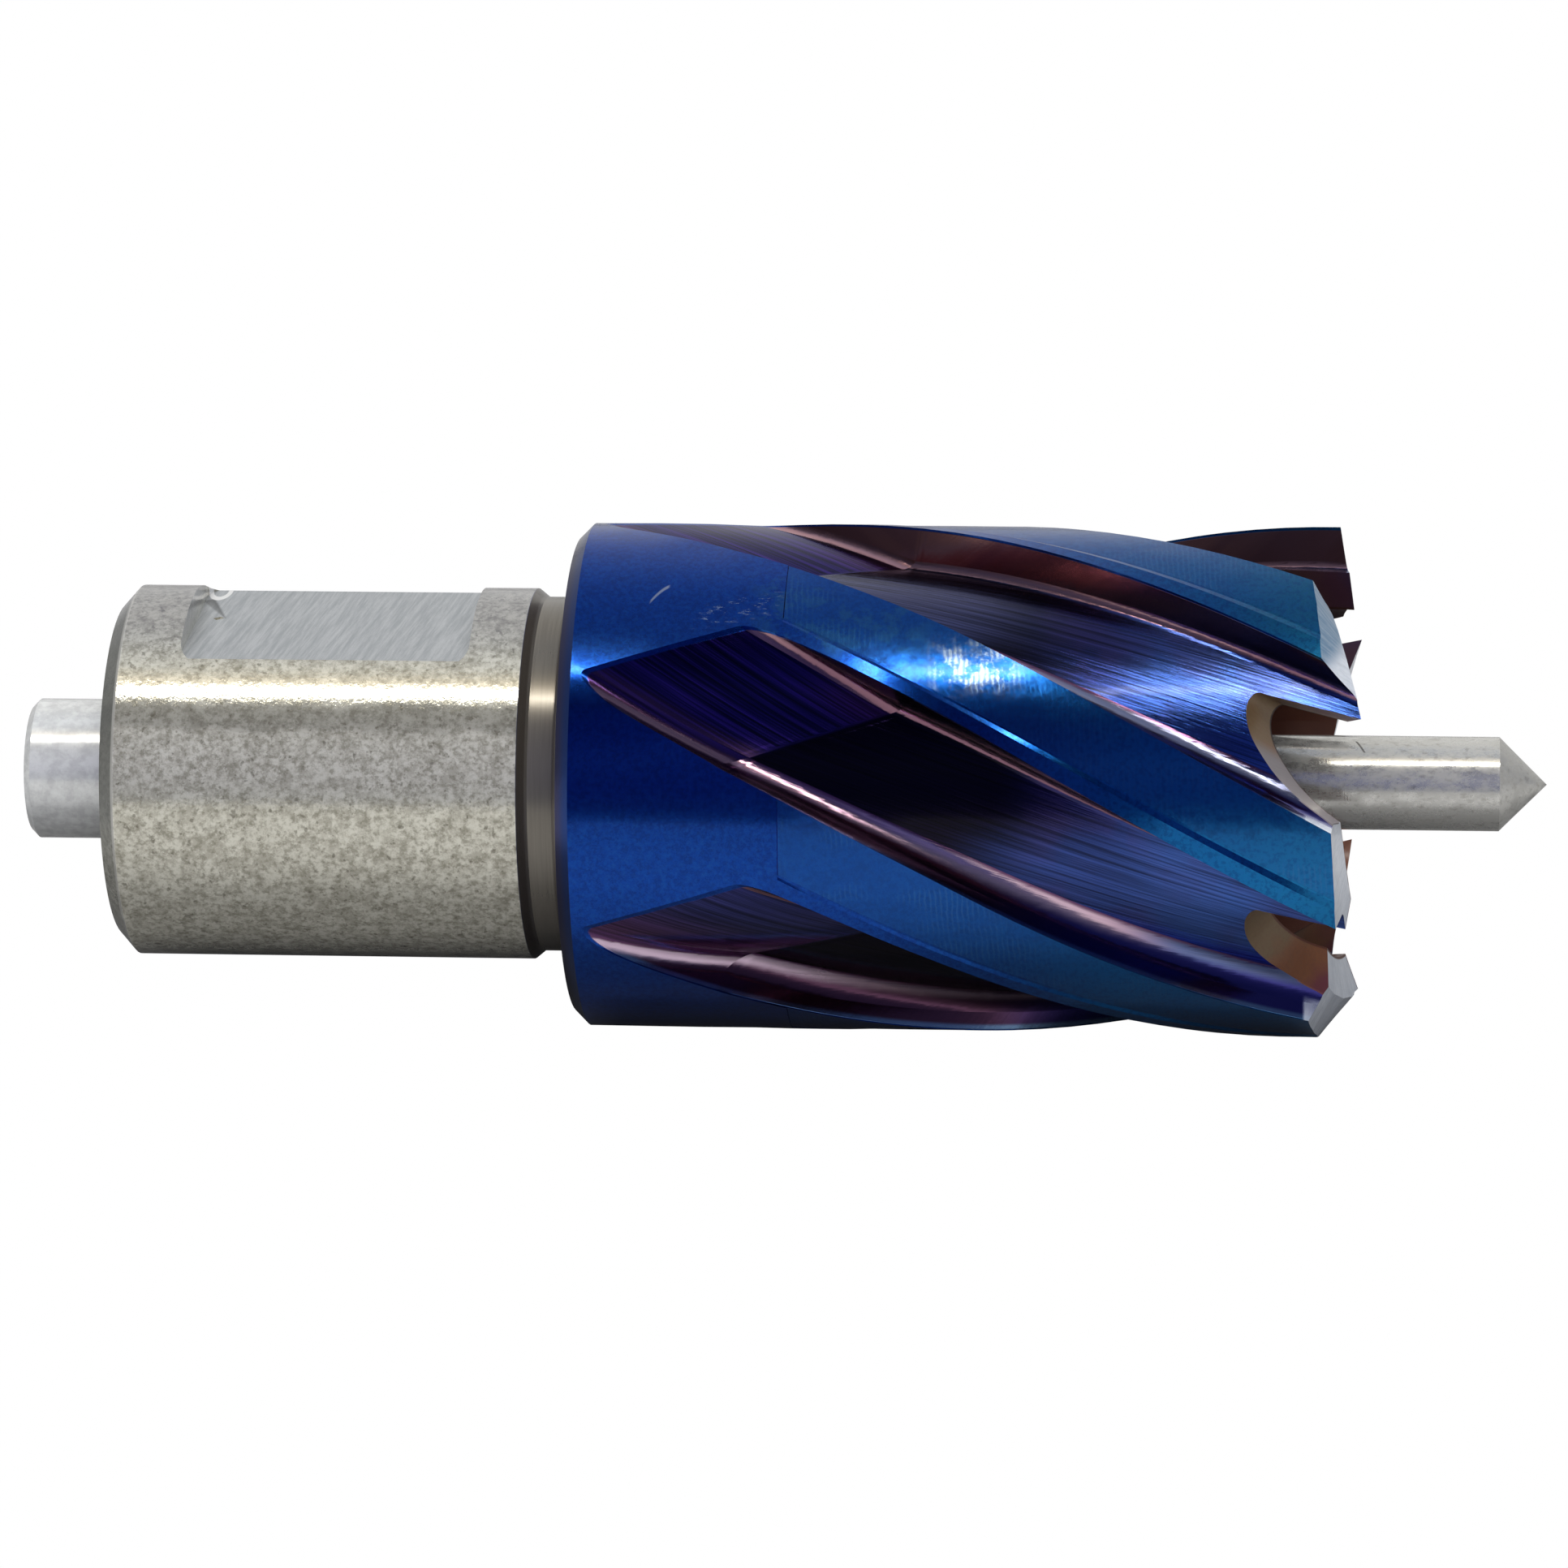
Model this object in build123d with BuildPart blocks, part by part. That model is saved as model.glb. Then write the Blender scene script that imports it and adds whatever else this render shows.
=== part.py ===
from build123d import *
from build123d.topology import SkipClean
import math
import os

os.makedirs("parts", exist_ok=True)

# Annular cutter lying along +X: the shank is on the -X side, the teeth point along +X.
# All sizes in millimetres. X = 0 is the middle of the shank's cylindrical wall.

# ---- driving dimensions -------------------------------------------------
shank_r = 9.525            # standard 19.05 mm side-lock shank
shank_rear = -11.06        # rear face
shank_wall_lo = -10.21     # cylindrical wall of the shank starts
shank_wall_hi = 10.21      # cylindrical wall of the shank ends
neck_r = 9.10
neck_start = 10.73
body_rear = 12.50          # annular rear face of the fluted body
body_rear_r = 12.90        # body radius behind the flutes
body_front_r = 13.00       # body radius at the teeth (cuts a 26 mm hole)
tip_x = 52.37              # highest tooth points
cavity_r = 8.90            # slug cavity
cavity_floor = 25.00
flat_h = 1.54              # depth of the two drive flats
flat_lo, flat_hi = -7.20, 7.50
head_bore_r = 3.65         # rear bore, for the pin's head
pin_bore_r = 2.45          # front bore, for the pin's shaft
bore_step = -2.80          # shoulder between the two bores

pin_head_r = 3.60
pin_shaft_r = 2.40
pin_rear = -15.93
pin_step = -7.43
pin_cone = 59.40
pin_tip = 61.82

teeth = 6
pitch = 360.0 / teeth
twist = -2.346             # degrees of helix turn per mm along X
# Polar angle is measured from -Y upward: point = (x, -r cos a, r sin a).
lead_at_0 = 33.3 + 21.0 + 2.346 * 22.92    # leading edge of one land at X = 0


def pt(x, r, a):
    """Point on the section plane at x, radius r, polar angle a in degrees."""
    t = math.radians(a)
    return Vector(x, -r * math.cos(t), r * math.sin(t))


def between(table, x):
    """Smooth interpolation in a table of (x, value) rows, with no overshoot."""
    if x <= table[0][0]:
        return table[0][1]
    if x >= table[-1][0]:
        return table[-1][1]
    n = len(table)
    slope = [(table[i + 1][1] - table[i][1]) / (table[i + 1][0] - table[i][0]) for i in range(n - 1)]
    end = [slope[0]] + [0.0 if slope[i - 1] * slope[i] <= 0 else 2.0 / (1.0 / slope[i - 1] + 1.0 / slope[i]) for i in range(1, n - 1)] + [slope[-1]]
    for i in range(n - 1):
        (x0, v0), (x1, v1) = table[i], table[i + 1]
        if x <= x1:
            h, t = x1 - x0, (x - x0) / (x1 - x0)
            return (v0 * (2 * t ** 3 - 3 * t ** 2 + 1) + v1 * (3 * t ** 2 - 2 * t ** 3)
                    + h * end[i] * (t ** 3 - 2 * t ** 2 + t) + h * end[i + 1] * (t ** 3 - t ** 2))


# One flute: a nearly radial wall under the leading edge, a floor concentric with the axis, and a rounded corner up to the
# heel of the land behind. The wheel that ground it ran out on a slant: points of equal depth lie on planes that cross
# the flute obliquely, so each section below is taken on such a plane, s mm along from the flute's rear tip.
flute_depth = 2.10
ramp_len = 8.10            # run-out from nothing to full depth
tip_x0 = 14.06             # rear tip of the flute, at the heel side
tip_off = -30.2
slant = 0.2455             # mm along X for each degree towards the leading edge
edge_r = 12.96
wall_off = [(18.0, 0.1), (21.6, 0.55), (24.0, 1.15), (27.0, 1.50), (30.0, 1.50), (34.0, 1.05), (38.0, 0.45), (42.0, 0.0), (46.0, -0.45),
            (50.0, -0.85), (60.0, -1.2)]
heel_off = [(12.0, -30.6), (32.0, -30.6), (37.0, -31.4), (43.0, -32.3), (49.0, -32.7), (60.0, -32.9)]
heel_round = 1.10          # height of the rounded corner, which is heel_span degrees wide
heel_span = 5.7
foot_round = 0.40
foot_span = 2.2


def helix_point(x, r, off):
    return pt(x, r, lead_at_0 + twist * x + off)


def flute_wire(s, depth):
    """Closed section of one flute on the slanted plane at s: wall, fillet, floor, rounded corner, heel wall."""
    def on_line(off, r):
        return helix_point(tip_x0 + s + slant * (off - tip_off), r, off)

    mid = on_line(-15.0, 11.0)
    run = on_line(1.0, 11.0) - on_line(-31.0, 11.0)
    radial = Vector(0, mid.Y, mid.Z).normalized()
    normal = run.cross(radial).normalized()

    def q(r, off):
        x = tip_x0 + s + slant * (off - tip_off)
        for _ in range(12):
            e = 0.001
            f0 = (helix_point(x, r, off) - mid).dot(normal)
            f1 = (helix_point(x + e, r, off) - mid).dot(normal)
            x -= f0 * e / (f1 - f0)
        return helix_point(x, r, off)

    rf = edge_r - depth
    x_wall = tip_x0 + s + slant * (0.5 - tip_off)
    w = between(wall_off, x_wall)
    lean = 1.4 / 2.1
    foot_w = w - lean * depth
    h = between(heel_off, tip_x0 + s)
    top = q(16.5, w + lean * (16.5 - edge_r))
    wall_end = q(rf + foot_round, foot_w + lean * foot_round)
    corner = q(rf, foot_w)
    floor_start = q(rf, foot_w - foot_span)
    floor_mid = q(rf, 0.5 * (foot_w - foot_span + h))
    floor_end = q(rf, h)
    heel_corner = q(rf + 0.054, h - heel_span + 0.25)
    heel_end = q(rf + heel_round, h - heel_span)
    top2 = q(16.5, h - heel_span - 0.5 * (16.5 - rf - heel_round))
    k = 0.5523
    with BuildLine() as bl:
        Line(top, wall_end)
        Bezier(wall_end, wall_end + (corner - wall_end) * k, floor_start + (corner - floor_start) * k, floor_start)
        ThreePointArc(floor_start, floor_mid, floor_end)
        Bezier(floor_end, floor_end + (heel_corner - floor_end) * k, heel_end + (heel_corner - heel_end) * k, heel_end)
        Line(heel_end, top2)
        Line(top2, top)
    return Wire(bl.edges())


def relief_wire(x):
    """Closed section of the shallow ledge ground on the trailing part of one land."""
    a = lead_at_0 + twist * x
    lo, hi = a - 35.0, a - 54.6
    depth = 0.13
    with BuildLine() as bl:
        ThreePointArc(pt(x, 13.02 - depth, lo), pt(x, 13.02 - depth, 0.5 * (lo + hi)), pt(x, 13.02 - depth, hi))
        Line(pt(x, 13.02 - depth, hi), pt(x, 13.40, hi - 7.0))
        ThreePointArc(pt(x, 13.40, hi - 7.0), pt(x, 13.40, 0.5 * (lo + hi)), pt(x, 13.40, lo + 2.0))
        Line(pt(x, 13.40, lo + 2.0), pt(x, 13.02 - depth, lo))
    return Wire(bl.edges())


def loft_solid(wires):
    return Solid.make_loft(wires, ruled=False)


# the run-out, and the length at full depth up to the teeth
ramp_steps = 6
ramp_tool = loft_solid([flute_wire(-3.0 + (ramp_len + 3.0) * i / ramp_steps, flute_depth * (-3.0 + (ramp_len + 3.0) * i / ramp_steps) / ramp_len)
                        for i in range(ramp_steps + 1)])
full_steps = 14
full_tool = loft_solid([flute_wire(ramp_len + 2.5 * i, flute_depth) for i in range(full_steps + 1)])

relief_tool = loft_solid([relief_wire(23.62 + 3.3 * i) for i in range(10)])

# gullet through the wall ahead of each tooth: a prism along the radial direction, leaning towards the teeth inside.
# Its outline on the flute floor: a straight side under the tooth, a round nose, and a curved back.
gullet_a0 = 17.5 + 21.0    # radial direction of one gullet's rake face at the tooth points
gullet_lean = 0.62
gullet_top = [(24.42, 1.15), (29.45, -0.19), (35.2, -1.71), (35.2, -11.65), (28.30, -6.05)]
gullet_back = [(28.30, -6.05), (27.15, -5.12), (26.50, -4.62), (25.93, -4.15), (25.38, -3.60), (24.85, -2.95), (24.36, -2.12), (23.94, -1.27), (23.70, -0.50),
               (23.63, 0.28), (23.76, 0.86), (24.05, 1.17), (24.42, 1.15)]


def gullet_tool(a0):
    t = math.radians(a0)
    radial = Vector(0, -math.cos(t), math.sin(t))
    tang = Vector(0, math.sin(t), math.cos(t))
    pl = Plane(origin=radial * 11.1, x_dir=Vector(1, 0, 0), z_dir=Vector(1, 0, 0).cross(tang))
    with BuildSketch(pl) as sk:
        with BuildLine():
            Polyline(*[(px + 22.92, py) for px, py in gullet_top])
            Spline(*[(px + 22.92, py) for px, py in gullet_back])
        make_face()
    face = sk.sketch.faces()[0]
    inward = (radial * -1.0 + Vector(gullet_lean, 0, 0))
    return Solid.extrude(face.moved(Location(inward * -4.2)), inward * 9.4)


# end of each tooth: surfaces that fall away behind the cutting edge; two alternating edge forms
def tooth_wire(kind, a0, d):
    """Radial section through the space ahead of one tooth, d degrees behind its edge."""
    a = a0 + d
    if kind == 1:
        prof = [(7.0, 51.35 - 0.030 * d), (8.9, 51.77 - 0.030 * d), (11.0, 52.37 - 0.046 * d), (13.0, 50.42 - 0.0245 * (d - 11.0)),
                (14.6, 48.86 - 0.0245 * (d - 11.0))]
    else:
        prof = [(7.0, 51.15 - 0.020 * d), (8.95, 52.01 - 0.020 * d), (11.0, 51.70 - 0.020 * d), (13.0, 51.22 - 0.0125 * (d - 10.0)),
                (14.6, 50.80 - 0.0125 * (d - 10.0))]
    pts = [pt(x, r, a) for r, x in prof] + [pt(57.0, 14.6, a), pt(57.0, 7.0, a)]
    with BuildLine() as bl:
        Polyline(*pts, close=True)
    return Wire(bl.edges())


def tooth_tool(kind, a0):
    return Solid.make_loft([tooth_wire(kind, a0, d) for d in (-4.0, 6.0, 16.0, 26.0, 36.0)], ruled=True)


# ---- the cutter ---------------------------------------------------------
# half section of the turned blank: shank, neck, body, stepped bore and slug cavity. The shank's wall is in three bands:
# the middle one runs along the straight sides of the drive flats, the outer two take in the flats' rounded ends.
profile = [
    (shank_rear, head_bore_r + 0.35),
    (shank_rear, shank_r - 0.95),
    (shank_wall_lo, shank_r),
    (flat_lo + 1.30, shank_r),
    (flat_hi - 1.30, shank_r),
    (shank_wall_hi, shank_r),
    (neck_start, neck_r),
    (body_rear - 0.50, neck_r),
    (body_rear - 0.35, neck_r + 0.05),
    (body_rear - 0.14, neck_r + 0.20),
    (body_rear, neck_r + 0.50),
    (body_rear, body_rear_r - 0.70),
    (body_rear + 0.70, body_rear_r),
    (tip_x + 0.6, body_front_r),
    (tip_x + 0.6, cavity_r),
    (cavity_floor + 1.00, cavity_r),
    (cavity_floor + 0.30, cavity_r - 0.30),
    (cavity_floor, cavity_r - 1.00),
    (cavity_floor, pin_bore_r + 0.30),
    (cavity_floor - 0.30, pin_bore_r),
    (bore_step, pin_bore_r),
    (bore_step, head_bore_r),
    (shank_rear + 0.35, head_bore_r),
]
blank = Face(Wire([Edge.make_line((*a, 0), (*b, 0)) for a, b in zip(profile, profile[1:] + profile[:1])]))

with SkipClean(), BuildPart() as cutter_body:
    revolve(blank, axis=Axis.X, clean=False)

    # two drive flats, a quarter turn apart: one faces +Z, the other +Y
    with BuildSketch(Plane(origin=(0, 0, shank_r - flat_h), x_dir=(1, 0, 0), z_dir=(0, 0, 1))):
        with Locations((0.5 * (flat_lo + flat_hi), 0)):
            RectangleRounded(flat_hi - flat_lo, 10.9, 1.2)
    extrude(amount=4.0, mode=Mode.SUBTRACT, clean=False)
    with BuildSketch(Plane(origin=(0, shank_r - flat_h, 0), x_dir=(1, 0, 0), z_dir=(0, 1, 0))):
        with Locations((0.5 * (flat_lo + flat_hi), 0)):
            RectangleRounded(flat_hi - flat_lo, 10.9, 1.2)
    extrude(amount=4.0, mode=Mode.SUBTRACT, clean=False)

    # a nick in the flat near its rear end, left by a set screw
    with BuildSketch(Plane(origin=(-6.1, 0.9, shank_r - flat_h), x_dir=Vector(0.80, 0.60, 0), z_dir=(0.60, -0.80, 0))):
        with BuildLine():
            Polyline((-0.9, 0.4), (0.0, -0.16), (0.75, 0.4), close=True)
        make_face()
    extrude(amount=0.16, both=True, mode=Mode.SUBTRACT, clean=False)

    # flutes, land reliefs, gullets and tooth ends, one set for each tooth
    for i in range(teeth):
        turn = i * pitch
        add(ramp_tool.rotate(Axis.X, turn), mode=Mode.SUBTRACT, clean=False)
        add(full_tool.rotate(Axis.X, turn), mode=Mode.SUBTRACT, clean=False)
    for i in range(teeth):
        add(relief_tool.rotate(Axis.X, i * pitch), mode=Mode.SUBTRACT, clean=False)
    for i in range(teeth):
        add(gullet_tool(gullet_a0 + i * pitch), mode=Mode.SUBTRACT, clean=False)
    for i in range(teeth):
        kind = 1 if i % 2 == 0 else 2
        add(tooth_tool(kind, gullet_a0 + i * pitch), mode=Mode.SUBTRACT, clean=False)

print("shank wall bands", [round(f.area, 2) for f in cutter_body.faces().filter_by(GeomType.CYLINDER) if abs(f.radius - shank_r) < 0.001])
cutter_body.part.label = "cutter_body"

# ---- the pilot pin ------------------------------------------------------
with BuildPart() as pilot_pin:
    with BuildSketch(Plane.XY):
        with BuildLine():
            Polyline(
                (pin_rear, 0.0),
                (pin_rear, pin_head_r - 0.35),
                (pin_rear + 0.35, pin_head_r),
                (pin_step - 0.25, pin_head_r),
                (pin_step, pin_head_r - 0.25),
                (pin_step, pin_shaft_r),
                (pin_cone, pin_shaft_r),
                (pin_tip, 0.0),
                close=True,
            )
        make_face()
    revolve(axis=Axis.X)

pilot_pin.part.label = "pilot_pin"

export_step(cutter_body.part, "parts/cutter_body.step")
export_step(pilot_pin.part, "parts/pilot_pin.step")
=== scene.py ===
import bpy
import math
from mathutils import Matrix, Vector


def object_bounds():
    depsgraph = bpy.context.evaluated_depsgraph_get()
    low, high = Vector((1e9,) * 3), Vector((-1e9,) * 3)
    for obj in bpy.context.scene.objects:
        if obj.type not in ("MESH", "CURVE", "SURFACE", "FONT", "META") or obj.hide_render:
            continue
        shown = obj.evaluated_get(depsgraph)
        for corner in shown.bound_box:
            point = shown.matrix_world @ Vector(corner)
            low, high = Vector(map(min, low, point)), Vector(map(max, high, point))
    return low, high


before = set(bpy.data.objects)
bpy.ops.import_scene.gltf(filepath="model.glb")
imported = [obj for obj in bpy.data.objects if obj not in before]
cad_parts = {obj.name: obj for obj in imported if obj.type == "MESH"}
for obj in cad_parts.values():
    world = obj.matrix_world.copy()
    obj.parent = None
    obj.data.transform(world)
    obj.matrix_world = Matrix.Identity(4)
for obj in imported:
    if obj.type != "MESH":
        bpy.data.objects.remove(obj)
cad_lo, cad_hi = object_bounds()

scene = bpy.context.scene
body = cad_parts["cutter_body"]
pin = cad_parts["pilot_pin"]

MM = 1000.0          # object coordinates are metres; the masks below are written in millimetres


# ---- a small helper for node trees ------------------------------------------------
class Tree:
    def __init__(self, tree):
        self.t = tree
        self.n = tree.nodes
        self.l = tree.links

    def new(self, kind, **props):
        node = self.n.new(kind)
        for k, v in props.items():
            setattr(node, k, v)
        return node

    def put(self, socket, value):
        if isinstance(value, bpy.types.NodeSocket):
            self.l.new(value, socket)
        else:
            socket.default_value = value

    def math(self, op, a, b=0.0, c=0.0, clamp=False):
        node = self.new("ShaderNodeMath", operation=op, use_clamp=clamp)
        self.put(node.inputs[0], a)
        self.put(node.inputs[1], b)
        self.put(node.inputs[2], c)
        return node.outputs[0]

    def ramp01(self, v, lo, hi):
        """0 below lo, 1 above hi, smooth between. lo may be above hi."""
        node = self.new("ShaderNodeMapRange", interpolation_type="SMOOTHSTEP")
        self.put(node.inputs["Value"], v)
        if lo <= hi:
            a, b, x, y = lo, hi, 0.0, 1.0
        else:
            a, b, x, y = hi, lo, 1.0, 0.0
        node.inputs["From Min"].default_value = a
        node.inputs["From Max"].default_value = b
        node.inputs["To Min"].default_value = x
        node.inputs["To Max"].default_value = y
        return node.outputs["Result"]

    def band(self, v, lo, hi, soft):
        return self.mul(self.ramp01(v, lo - soft, lo + soft), self.ramp01(v, hi + soft, hi - soft))

    def mul(self, *vs):
        out = vs[0]
        for v in vs[1:]:
            out = self.math("MULTIPLY", out, v)
        return out

    def mix(self, fac, a, b):
        node = self.new("ShaderNodeMix", data_type="RGBA")
        self.put(node.inputs[0], fac)
        self.put(node.inputs[6], a)
        self.put(node.inputs[7], b)
        return node.outputs[2]

    def lerp(self, fac, a, b):
        node = self.new("ShaderNodeMix", data_type="FLOAT")
        self.put(node.inputs[0], fac)
        self.put(node.inputs[2], a)
        self.put(node.inputs[3], b)
        return node.outputs[0]

    def vec(self, x, y, z):
        node = self.new("ShaderNodeCombineXYZ")
        self.put(node.inputs[0], x)
        self.put(node.inputs[1], y)
        self.put(node.inputs[2], z)
        return node.outputs[0]

    def table(self, v, rows):
        """Straight-line interpolation of (input, value) rows."""
        lo, hi = rows[0][0], rows[-1][0]
        vals = [b for _, b in rows]
        base, span = min(vals), max(max(vals) - min(vals), 1e-6)
        ramp = self.new("ShaderNodeValToRGB")
        self.put(ramp.inputs[0], self.math("MULTIPLY_ADD", v, 1.0 / (hi - lo), -lo / (hi - lo)))
        els = ramp.color_ramp.elements
        while len(els) > 1:
            els.remove(els[-1])
        for i, (a, b) in enumerate(rows):
            k = (a - lo) / (hi - lo)
            e = els[0] if i == 0 else els.new(k)
            e.position = k
            e.color = ((b - base) / span,) * 3 + (1.0,)
        sep = self.new("ShaderNodeSeparateColor")
        self.put(sep.inputs[0], ramp.outputs["Color"])
        return self.math("MULTIPLY_ADD", sep.outputs[0], span, base)

    def noise(self, v, scale, detail=2.0, rough=0.5, distort=0.0):
        node = self.new("ShaderNodeTexNoise")
        self.put(node.inputs["Vector"], v)
        node.inputs["Scale"].default_value = scale
        node.inputs["Detail"].default_value = detail
        node.inputs["Roughness"].default_value = rough
        node.inputs["Distortion"].default_value = distort
        return node.outputs["Fac"]


def rgb(r, g, b):
    return (r, g, b, 1.0)


def srgb(r, g, b):
    out = []
    for c in (r, g, b):
        c /= 255.0
        out.append(c / 12.92 if c <= 0.04045 else ((c + 0.055) / 1.055) ** 2.4)
    return (out[0], out[1], out[2], 1.0)


def material(name):
    m = bpy.data.materials.new(name)
    m.use_nodes = True
    t = Tree(m.node_tree)
    bsdf = next(n for n in t.n if n.type == "BSDF_PRINCIPLED")
    return m, t, bsdf


def frame_coords(t):
    """Position in mm, radius, polar angle in degrees, and the normal's parts along the axis and outward."""
    pos = t.new("ShaderNodeTexCoord").outputs["Object"]
    sep = t.new("ShaderNodeSeparateXYZ")
    t.put(sep.inputs[0], pos)
    x, y, z = (t.math("MULTIPLY", sep.outputs[i], MM) for i in range(3))
    r = t.math("SQRT", t.math("ADD", t.mul(y, y), t.mul(z, z)))
    ang = t.math("MULTIPLY", t.math("ARCTAN2", z, t.math("MULTIPLY", y, -1.0)), 180.0 / math.pi)
    nor = t.new("ShaderNodeTexCoord").outputs["Normal"]
    sn = t.new("ShaderNodeSeparateXYZ")
    t.put(sn.inputs[0], nor)
    nx, ny, nz = sn.outputs
    nr = t.math("DIVIDE", t.math("ADD", t.mul(ny, y), t.mul(nz, z)), t.math("MAXIMUM", r, 0.001))
    return x, y, z, r, ang, nx, ny, nz, nr


# ---- the cutter --------------------------------------------------------------------
def cutter_material():
    m, t, bsdf = material("coated_cutter_steel")
    x, y, z, r, ang, nx, ny, nz, nr = frame_coords(t)
    p = t.vec(x, y, z)
    nt = t.math("DIVIDE", t.math("SUBTRACT", t.mul(ny, z), t.mul(nz, y)), t.math("MAXIMUM", r, 0.001))
    LEAD0, TWIST = 33.3 + 21.0 + 2.346 * 22.92, -2.346
    helix = t.math("SUBTRACT", ang, t.math("MULTIPLY_ADD", x, TWIST, LEAD0))
    # degrees from the leading edge of the nearest land: about 0 at the edge, -37 at the heel below it
    off = t.math("SUBTRACT", t.math("FLOORED_MODULO", t.math("SUBTRACT", helix, 6.0), 60.0), 54.0)
    # distance along the slanted run-out: 0 at its rear tip, 8.1 where the flute has its full depth
    s = t.math("SUBTRACT", t.math("SUBTRACT", x, 14.06), t.math("MULTIPLY", t.math("ADD", off, 30.2), 0.2455))

    # masks, each 0 to 1
    is_shank = t.ramp01(x, 10.24, 10.18)
    is_neck = t.mul(t.ramp01(x, 10.18, 10.24), t.ramp01(x, 12.60, 12.46), t.ramp01(r, 12.0, 11.8))
    is_chamfer = t.mul(t.ramp01(x, 12.35, 12.45), t.ramp01(x, 13.24, 13.16), t.ramp01(r, 9.5, 9.7))
    in_flute = t.mul(t.ramp01(r, 12.84, 12.81), t.ramp01(x, 13.30, 13.40), t.ramp01(off, 5.0, 3.0), t.ramp01(off, -46.0, -42.0))
    inside = t.math("MAXIMUM", t.ramp01(r, 3.95, 3.80), t.mul(t.ramp01(r, 9.05, 8.97), t.ramp01(x, 24.2, 24.7)))
    ledge = t.mul(t.ramp01(x, 23.62, 23.68), t.ramp01(off, -34.6, -35.4), t.ramp01(r, 12.81, 12.84), t.ramp01(nr, 0.85, 0.95))
    ramp = t.ramp01(s, 8.25, 7.95)

    # the gullets, in the coordinates of their own prism
    phi = t.math("SUBTRACT", t.math("FLOORED_MODULO", t.math("ADD", ang, -8.5), 60.0), 30.0)
    phi_r = t.math("RADIANS", phi)
    py = t.mul(r, t.math("SINE", phi_r))
    deep = t.math("SUBTRACT", 11.1, t.mul(r, t.math("COSINE", phi_r)))
    px = t.math("SUBTRACT", t.math("SUBTRACT", x, 22.92), t.math("MULTIPLY", deep, 0.62))
    back = t.table(py, [(-11.65, 35.2), (-6.05, 28.30), (-5.12, 27.15), (-4.62, 26.50), (-4.15, 25.93), (-3.60, 25.38), (-2.95, 24.85),
                        (-2.12, 24.36), (-1.27, 23.94), (-0.50, 23.70), (0.28, 23.63), (0.86, 23.76), (1.17, 24.05)])
    top = t.math("MULTIPLY_ADD", px, -0.266, 1.15 + 0.266 * 24.42)
    in_gap = t.mul(t.ramp01(t.math("SUBTRACT", px, back), -0.10, -0.06), t.ramp01(t.math("SUBTRACT", py, top), 0.10, 0.06),
                   t.ramp01(x, 46.0, 46.2), t.ramp01(nr, 0.80, 0.70), t.ramp01(r, 8.8, 8.95))
    end_face = t.mul(t.ramp01(x, 49.55, 49.75), t.ramp01(nx, 0.40, 0.48), t.ramp01(r, 8.85, 8.95))

    # shared variation
    big = t.noise(p, 0.22, 3.0, 0.5)
    mid = t.noise(p, 1.1, 3.0, 0.55)
    fine = t.noise(p, 6.0, 2.0, 0.6)
    grain = t.noise(p, 13.0, 2.0, 0.7)

    # bare ground steel of the shank: mottled, with darker specks
    pn = t.vec(x, t.mul(y, 1.0), t.mul(z, 1.0))
    speck = t.ramp01(t.noise(pn, 1.2, 5.0, 0.80), 0.42, 0.62)
    speck2 = t.ramp01(t.noise(t.vec(t.math("MULTIPLY", x, 0.9), y, z), 3.2, 3.0, 0.72), 0.41, 0.68)
    speck3 = t.ramp01(t.noise(t.vec(x, y, t.math("ADD", z, 7.0)), 2.6, 2.0, 0.55), 0.62, 0.72)
    steel = t.mix(big, rgb(0.66, 0.645, 0.545), rgb(0.82, 0.805, 0.695))
    steel = t.mix(t.mul(speck, 0.50), steel, rgb(0.27, 0.250, 0.190))
    steel = t.mix(t.mul(speck2, 0.64), steel, rgb(0.21, 0.195, 0.142))
    # painted shade: a darker lengthwise band along the shank, under the strip light's highlight
    painted_dark_band = t.band(t.math("ADD", ang, t.math("MULTIPLY", t.math("SUBTRACT", t.noise(t.vec(t.mul(x, 0.25), y, z), 0.9, 4.0, 0.65), 0.5), 9.0)), 33.0, 42.0, 2.2)
    steel = t.mix(t.mul(painted_dark_band, is_shank, 0.46), steel, rgb(0.13, 0.125, 0.105))
    steel = t.mix(t.mul(speck3, 0.55), steel, rgb(0.11, 0.095, 0.065))
    # painted shade: the shank darker towards its top, and likewise round the flat on the far side
    steel = t.mix(t.mul(t.math("MAXIMUM", t.ramp01(z, 7.6, 9.45), t.ramp01(y, 7.6, 9.45)), 0.58), steel, rgb(0.148, 0.153, 0.200))
    # painted shade: the shank darker on its underside
    steel = t.mix(t.mul(t.ramp01(z, -6.3, -8.8), 0.50), steel, rgb(0.100, 0.105, 0.120))
    # painted shade on the rear chamfer, heavier towards the top
    rear_chamfer_shade = t.mul(t.ramp01(nx, -0.25, -0.55), t.ramp01(x, -10.0, -10.3))
    steel = t.mix(t.mul(rear_chamfer_shade, t.lerp(t.ramp01(z, -2.0, 1.5), 0.50, 0.88)), steel, rgb(0.110, 0.115, 0.108))
    rings = t.noise(t.vec(t.math("MULTIPLY", r, 4.0), t.math("ABSOLUTE", t.mul(ang, 0.004)), 0.0), 1.0, 4.0, 0.7)
    on_rear = t.ramp01(nx, -0.90, -0.97)
    steel = t.mix(t.mul(on_rear, t.ramp01(rings, 0.40, 0.62), 0.45), steel, rgb(0.46, 0.45, 0.42))
    # painted highlight: a thin bright line along the inner edge of the rear chamfer
    steel = t.mix(t.mul(t.band(x, -10.34, -10.18, 0.05), 0.45), steel, rgb(0.80, 0.79, 0.74))
    steel_rough = t.lerp(speck2, 0.08, 0.16)

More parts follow.
